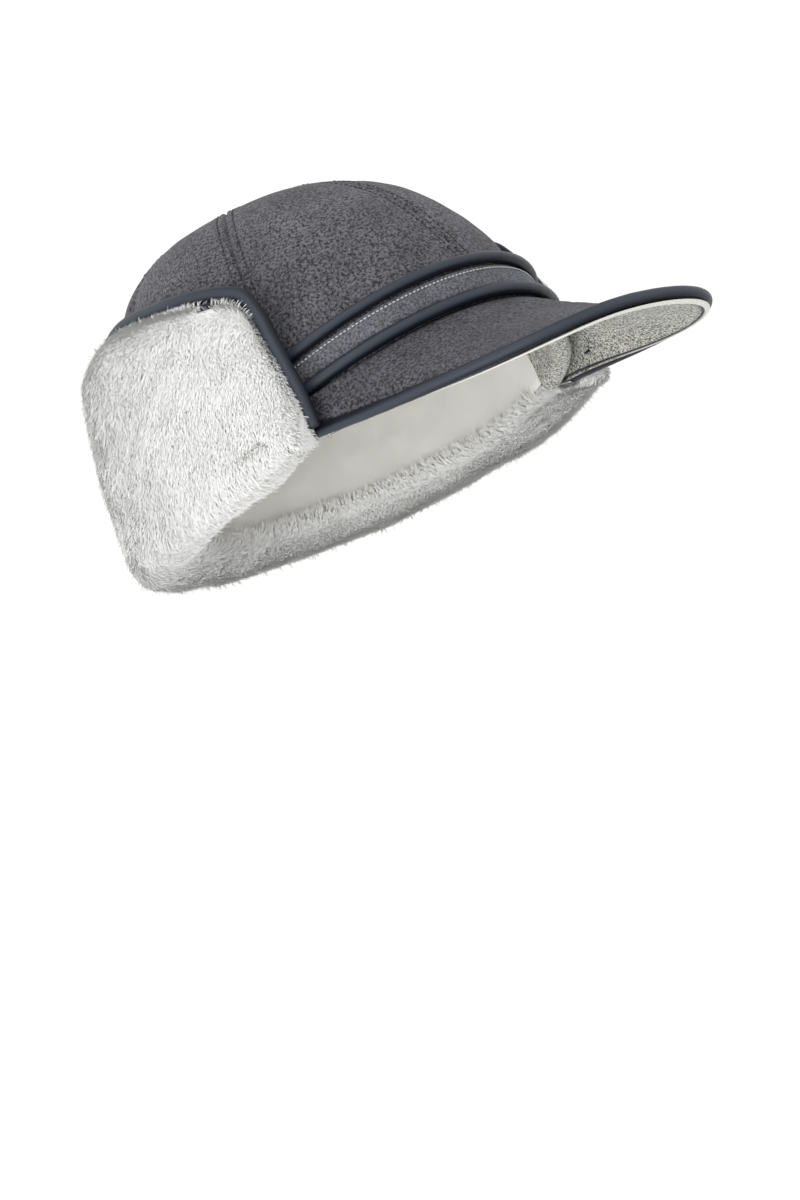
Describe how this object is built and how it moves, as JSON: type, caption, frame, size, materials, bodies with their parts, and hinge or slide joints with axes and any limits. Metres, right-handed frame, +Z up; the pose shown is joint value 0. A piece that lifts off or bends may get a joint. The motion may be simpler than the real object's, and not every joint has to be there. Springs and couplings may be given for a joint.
{
  "type": "shearling peaked cap with turned-up ear and neck flap",
  "caption": "Grey shearling cap with a stiff peak, a strap between navy pipings and an ear and neck flap turned up to show cream wool.",
  "frame": {"origin": "middle of the head opening, level with the middle of the crown's rim, where a head holds the hat", "axes": "+Z up, front with the peak towards -Y, the wearer's right towards -X"},
  "size_m": [0.2392, 0.327, 0.1461],
  "materials": {
    "grey_leather": "matt suede with a fine grain",
    "strip_leather": "matt",
    "pale_leather": "matt suede",
    "navy_leather": "satin",
    "wool": "dense clipped wool"
  },
  "bodies": {
    "root": {"crown_front_right": "grey_leather", "crown_side_right": "grey_leather", "crown_back_right": "grey_leather", "crown_back_left": "grey_leather", "crown_side_left": "grey_leather", "crown_front_left": "grey_leather", "band_piping_upper": "navy_leather", "band_piping_lower": "navy_leather", "band_strip": "strip_leather", "peak_upper": "grey_leather", "peak_under": "pale_leather", "peak_binding": "navy_leather", "flap_leather": "grey_leather", "flap_wool": "wool", "flap_binding": "navy_leather"}
  },
  "joints": []
}
